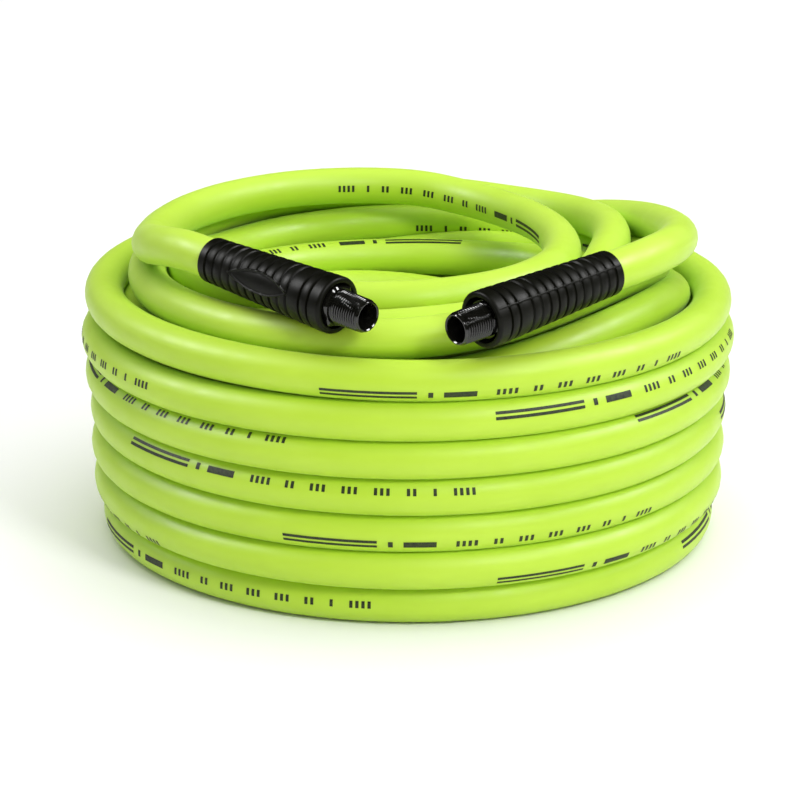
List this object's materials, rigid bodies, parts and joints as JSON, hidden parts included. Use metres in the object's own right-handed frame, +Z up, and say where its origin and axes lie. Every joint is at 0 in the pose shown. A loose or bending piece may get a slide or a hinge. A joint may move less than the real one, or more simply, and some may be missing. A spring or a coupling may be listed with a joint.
{
  "type": "coiled air hose",
  "caption": "Flexible compressed-air hose wound in a round coil, with ribbed rubber bend restrictors and male pipe-thread fittings on its two ends.",
  "frame": {"origin": "centre of the bounding box at its underside: the floor under the coil", "axes": "+Z up along the coil's axis, -Y towards the side where both threaded ends lie, +X to the right seen from there"},
  "size_m": [0.335, 0.3456, 0.1775],
  "materials": {
    "hose_cover": "satin yellow-green polymer hose cover",
    "hose_braid": "woven polyester braid",
    "hose_liner": "smooth inner tube",
    "fitting": "glossy black-plated metal",
    "ferrule": "glossy black-plated metal, crimped",
    "sleeve_rubber": "matt black moulded rubber"
  },
  "bodies": {
    "hose": {"hose_coil": "hose_cover", "hose_lead_left": "hose_cover", "hose_cover_left": "hose_cover", "hose_braid_left": "hose_braid", "hose_liner_left": "hose_liner", "fitting_left": "fitting", "crimp_ferrule_left": "ferrule", "hose_lead_right": "hose_cover", "hose_cover_right": "hose_cover", "hose_braid_right": "hose_braid", "hose_liner_right": "hose_liner", "fitting_right": "fitting", "crimp_ferrule_right": "ferrule"},
    "left_sleeve": {"bend_sleeve_left": "sleeve_rubber"},
    "right_sleeve": {"bend_sleeve_right": "sleeve_rubber"}
  },
  "joints": [
    {"name": "left_sleeve_slide", "type": "slide", "parent": "hose", "child": "left_sleeve", "axis": [-0.7289, 0.6799, 0.08], "range_m": [0, 0.008]},
    {"name": "right_sleeve_slide", "type": "slide", "parent": "hose", "child": "right_sleeve", "axis": [0.7454, 0.6606, 0.0898], "range_m": [0, 0.008]}
  ]
}
